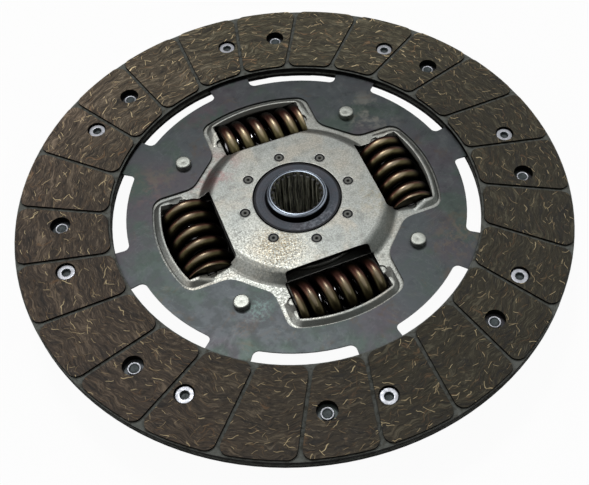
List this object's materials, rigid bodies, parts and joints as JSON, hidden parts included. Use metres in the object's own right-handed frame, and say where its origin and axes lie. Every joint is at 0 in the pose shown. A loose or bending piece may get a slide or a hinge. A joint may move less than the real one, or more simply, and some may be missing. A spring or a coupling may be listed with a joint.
{
  "type": "clutch disc",
  "caption": "Round clutch disc with grooved friction facings, a splined hub and a spring damper that lets the hub twist.",
  "frame": {"origin": "on the bore axis, half way between the two friction faces", "axes": "+Z along the bore axis out of the front face, X and Y through the middles of the spring windows"},
  "size_m": [0.24, 0.24, 0.0303],
  "materials": {
    "friction_lining": "matte moulded friction lining with short fibres",
    "carrier_sheet": "heat tinted spring steel sheet",
    "facing_rivet": "zinc plated",
    "plate_steel": "satin pressed steel",
    "pin_steel": "satin",
    "bush_plastic": "moulded, matte",
    "washer_steel": "plain",
    "hub_steel": "turned",
    "flange_steel": "phosphated",
    "outer_spring_wire": "oil tempered, brown",
    "inner_spring_wire": "bright wire"
  },
  "bodies": {
    "disc": {"front_facing": "friction_lining", "rear_facing": "friction_lining", "lining_carrier": "carrier_sheet", "front_facing_rivets": "facing_rivet", "rear_facing_rivets": "facing_rivet", "front_side_plate": "plate_steel", "rear_side_plate": "plate_steel", "stop_pin_1": "pin_steel", "stop_pin_2": "pin_steel", "stop_pin_3": "pin_steel", "stop_pin_4": "pin_steel", "centring_bush": "bush_plastic", "front_friction_washer": "washer_steel", "front_disc_spring": "washer_steel", "rear_friction_ring": "bush_plastic", "rear_support_washer": "washer_steel", "rear_disc_spring": "washer_steel", "rear_bush": "bush_plastic"},
    "hub": {"splined_hub": "hub_steel", "hub_flange": "flange_steel"},
    "springs": {"outer_spring_1": "outer_spring_wire", "inner_spring_1": "inner_spring_wire", "outer_spring_2": "outer_spring_wire", "inner_spring_2": "inner_spring_wire", "outer_spring_3": "outer_spring_wire", "inner_spring_3": "inner_spring_wire", "outer_spring_4": "outer_spring_wire", "inner_spring_4": "inner_spring_wire"}
  },
  "joints": [
    {"name": "damper_twist", "type": "hinge", "parent": "disc", "child": "hub", "pos_m": [0, 0, 0], "axis": [0, 0, 1], "range_deg": [-8, 8], "stiffness_Nm_per_rad": 80, "deforming": ["outer_spring_1", "inner_spring_1", "outer_spring_2", "inner_spring_2", "outer_spring_3", "inner_spring_3", "outer_spring_4", "inner_spring_4"]},
    {"name": "spring_follow", "type": "hinge", "parent": "disc", "child": "springs", "pos_m": [0, 0, 0], "axis": [0, 0, 1], "range_deg": [-4.2, 4.2]}
  ],
  "couplings": [
    {"joint": "spring_follow", "follows": "damper_twist", "ratio": 0.5}
  ]
}
